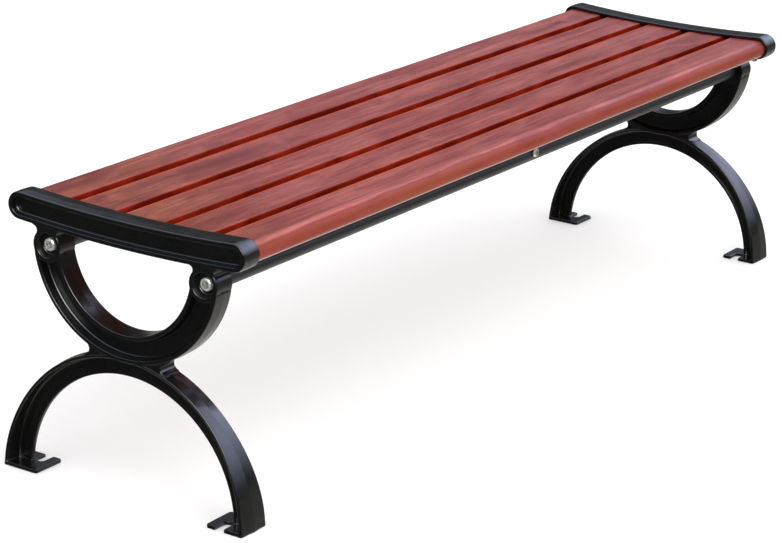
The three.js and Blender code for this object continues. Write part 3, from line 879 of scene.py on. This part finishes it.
def nose_colour(wood, grain, colour, lean, rise):
    """A painted highlight where the nose turns down, then a painted dark reflection, the face, and a
    painted pale reflection on the arris underneath.
    """
    patches = wood.spread(grain["patches"], *NOSE["highlight_patches"])
    # Painted highlight where the nose turns down, broken up by patches.
    painted_highlight = wood.math("MULTIPLY", wood.spread(lean, *NOSE["highlight_lean"]), patches)
    colour = wood.mix(painted_highlight, colour, PAINTED_NOSE_HIGHLIGHT)
    # Painted dark reflection in a line along the nose, swaying with the streaks.
    bend = wood.math("ADD", lean, wood.spread(grain["streaks"], *NOSE["sway"]))
    colour = wood.mix(wood.spread(bend, *NOSE["dark_reflection"]), colour, PAINTED_DARK_REFLECTION)
    figure = wood.spread(grain["streaks"], *NOSE["figure"])
    face = wood.math("MULTIPLY", wood.spread(bend, *NOSE["face"]), figure)
    colour = wood.mix(face, colour, TIMBER_NOSE)
    # Painted pale reflection along the arris underneath.
    upper, lower = wood.spread(rise, *NOSE["arris_upper"]), wood.spread(rise, *NOSE["arris_lower"])
    arris = wood.spread(wood.math("MULTIPLY", upper, lower), *NOSE["arris"])
    return wood.mix(arris, colour, PAINTED_ARRIS_REFLECTION)


def gap_colour(wood, grain, colour, gap):
    """A painted highlight line on the front edge of each top, and painted shade on the sides in the gaps.
    """
    # Painted highlight line along the front edge of each top.
    edge = wood.math("MULTIPLY", wood.spread(gap, *GAP["front"]), wood.spread(gap, *GAP["front_end"]))
    colour = wood.mix(edge, colour, PAINTED_EDGE_HIGHLIGHT)
    # Painted shade on the sides in the gaps.
    painted_shade = wood.spread(wood.math("ABSOLUTE", gap), *GAP["painted_shade"])
    return wood.mix(painted_shade, colour, wood.ramp(grain["patches"], *SHADED_GAP_PATCHES))


def timber_dullness(wood, near_end, lean, gap):
    """How little the timber shines: 1 in the gaps, and high on the noses and near the left end."""
    sides = wood.math("MAXIMUM", wood.spread(gap, *GAP["back"]), wood.spread(gap, *GAP["front"]))
    dull = wood.math("MAXIMUM", sides, wood.spread(lean, *DULL_NOSE))
    return wood.math("MAXIMUM", dull, wood.math("MULTIPLY", near_end, DULL_NEAR_END))


def stained_timber(i):
    """Red-brown stained timber with long grain, under a thin satin coat, with painted highlights, painted
    reflections, painted shade in the gaps and a left end painted browner in place of sheen.
    """
    wood = Shader(f"stained_timber_{i + 1}")
    facing = wood.node("SeparateXYZ", {0: wood.node("NewGeometry").outputs["Normal"]}).outputs
    lean = wood.math("ABSOLUTE", facing["Y"])
    gap = wood.node("Attribute", attribute_name="gap").outputs["Fac"]
    grain = timber_grain(wood, i)
    near_end = near_end_share(wood, grain, i)
    colour = top_colour(wood, grain, near_end)
    colour = nose_colour(wood, grain, colour, lean, facing["Z"])
    wood.set(Base_Color=gap_colour(wood, grain, colour, gap))
    dull = timber_dullness(wood, near_end, lean, gap)
    wood.set(Roughness=wood.spread(grain["patches"], *SATIN["roughness"]))
    wood.set(Specular_IOR_Level=wood.spread(dull, *SATIN["shine"]))
    wood.set(Coat_Weight=wood.spread(dull, *SATIN["coat"]), Coat_Roughness=COAT_ROUGHNESS)
    ridges = wood.bump(grain["rings"], *RING_RIDGES)
    wood.set(Normal=wood.bump(grain["fibres"], *FIBRE_RIDGES, below=ridges))
    return wood.material


# ---- the object ----

black = gloss_paint("gloss_black", **CAST_PAINT)
rail_black = gloss_paint("rail_black", **RAIL_PAINT)
zinc = zinc_plate()

castings(black)
for number in range(SLAT_COUNT):
    finished(slat_board(number), stained_timber(number), "timber", f"slat_{number + 1}")
for side_name, side_sign in SIDES:
    rail_tube(side_name, side_sign, rail_black)
strap_band(rail_black)
fasteners(zinc)
for side_name, _ in SIDES:
    for end_name, _ in ENDS:
        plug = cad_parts[f"rail_plug_{side_name}_{end_name}"]
        plug.data.materials.clear()
        plug.data.materials.append(zinc)


# ---- floor, light and camera ----

FLOOR = {"radius": 30, "sides": 96, "z": -0.0005}
FLOOR_WHITE = (0.88, 0.88, 0.88, 1)
FLOOR_GLOW = 0.2
FLOOR_ROUGHNESS = 0.9
KEY_LIGHT = {"location": (-1.2, -2.2, 3.2), "target": (0, 0, 0.3), "size": (3, 2), "power": 60}
CAMERA = {"azimuth": -56.23, "elevation": 18.47, "distance": 4.21417, "roll": 1.59}
LENS = {"length": 124.72, "sensor": 36, "reach": 200}
CAMERA_TARGET = Vector((-0.04269, 0.04793, 0.12848))

EVEN_LIGHT = (1.05, 1.05, 1.05)
SEEN_ROOM = (1, 1, 1)
BRIGHT_SIDE = (0.83, -0.56, 0)
BRIGHT_SPREAD = (0.44, 0.8)
BRIGHT_RISE = (0.07, 0.55)
BRIGHT_SKY = (3.3, 3.6, 4.9)
GLINT_SIDE = (-0.8, -0.304, 0.517)
GLINT_SPREAD = (0.93, 0.985)
GLINT = (15, 15, 15)
# Colours against a direction's height above the horizon, and against its depth below it.
SKY = [
    (0.0, (0.05, 0.055, 0.05)),
    (0.36, (0.085, 0.09, 0.085)),
    (0.6, (1.0, 1.1, 1.45)),
    (1.0, (1.9, 2.0, 2.3)),
]
GROUND = [
    (0.0, (0.34, 0.33, 0.31)),
    (0.3, (0.31, 0.31, 0.29)),
    (0.5, (0.84, 0.82, 0.78)),
    (0.8, (0.8, 0.79, 0.76)),
    (1.0, (1.6, 1.58, 1.5)),
]
DARK_GROUND = (0.05, 0.05, 0.05)
DARK_GROUND_SPREAD = (-0.5, 0.1)


def floor():
    """A wide pale disc, just below the feet."""
    radius, sides = FLOOR["radius"], FLOOR["sides"]
    turns = [2 * math.pi * i / sides for i in range(sides)]
    edge = [(radius * math.cos(t), radius * math.sin(t), FLOOR["z"]) for t in turns]
    disc = new_object("floor", edge, [tuple(range(sides))])
    paint = Shader("floor_paint")
    paint.set(Base_Color=FLOOR_WHITE, Roughness=FLOOR_ROUGHNESS)
    paint.set(Emission_Color=(1, 1, 1, 1), Emission_Strength=FLOOR_GLOW)
    disc.data.materials.append(paint.material)
    disc.visible_glossy = False


def world_light():
    """Even white light, with a sky, dark trees and ground that only the gloss reflects."""
    world = bpy.data.worlds.new("studio")
    bpy.context.scene.world = world
    world.use_nodes = True
    world.node_tree.nodes.clear()
    room = Nodes(world.node_tree)
    way = room.node("TexCoord").outputs["Generated"]
    part = room.node("SeparateXYZ", {0: way}).outputs
    up = part["Z"]

    towards = room.node("VectorMath", {0: way, 1: BRIGHT_SIDE}, operation="DOT_PRODUCT").outputs["Value"]
    bright = room.math("MULTIPLY", room.spread(towards, *BRIGHT_SPREAD), room.spread(up, *BRIGHT_RISE))
    sky = room.mix(bright, room.ramp(up, *SKY), BRIGHT_SKY)
    ground = room.ramp(room.math("MULTIPLY", up, -1), *GROUND)
    ground = room.mix(room.spread(part["X"], *DARK_GROUND_SPREAD), DARK_GROUND, ground)
    outside = room.mix(room.math("GREATER_THAN", up, 0), ground, sky)
    lamp = room.node("VectorMath", {0: way, 1: GLINT_SIDE}, operation="DOT_PRODUCT").outputs["Value"]
    outside = room.mix(room.spread(lamp, *GLINT_SPREAD), outside, GLINT)

    path = room.node("LightPath").outputs
    even = room.node("Background", {"Color": (*EVEN_LIGHT, 1), "Strength": 1.0}).outputs[0]
    gloss = room.node("Background", {"Color": outside, "Strength": 1.0}).outputs[0]
    pale = room.node("Background", {"Color": (*SEEN_ROOM, 1), "Strength": 1.0}).outputs[0]
    light = room.node("MixShader", {0: path["Is Glossy Ray"], 1: even, 2: gloss}).outputs[0]
    light = room.node("MixShader", {0: path["Is Camera Ray"], 1: light, 2: pale}).outputs[0]
    room.node("OutputWorld", {"Surface": light})


def soft_box(name, location, target, size, power):
    """A large rectangular lamp that gloss doesn't reflect."""
    light = bpy.data.lights.new(name, "AREA")
    light.shape = "RECTANGLE"
    light.size, light.size_y = size
    light.energy = power
    lamp = bpy.data.objects.new(name, light)
    bpy.context.scene.collection.objects.link(lamp)
    lamp.location = location
    lamp.visible_glossy = False
    lamp.rotation_euler = (Vector(target) - Vector(location)).to_track_quat("-Z", "Y").to_euler()


def camera():
    """A long lens, turned round the bench to azimuth and elevation, and rolled a little."""
    data = bpy.data.cameras.new("camera")
    data.lens = LENS["length"]
    data.sensor_width = LENS["sensor"]
    data.sensor_fit = "HORIZONTAL"
    data.clip_end = LENS["reach"]
    eye = bpy.data.objects.new("camera", data)
    bpy.context.scene.collection.objects.link(eye)
    a, e, r = (math.radians(CAMERA[k]) for k in ("azimuth", "elevation", "roll"))
    back = Vector((math.sin(a) * math.cos(e), -math.cos(a) * math.cos(e), math.sin(e)))
    right = Vector((math.cos(a), math.sin(a), 0))
    up = back.cross(right)
    axes = Matrix([right * math.cos(r) + up * math.sin(r), up * math.cos(r) - right * math.sin(r), back])
    place = CAMERA_TARGET + back * CAMERA["distance"]
    eye.matrix_world = Matrix.Translation(place) @ axes.transposed().to_4x4()
    bpy.context.scene.camera = eye


floor()
world_light()
soft_box("key", **KEY_LIGHT)
camera()
bpy.context.scene.view_settings.view_transform = "Standard"
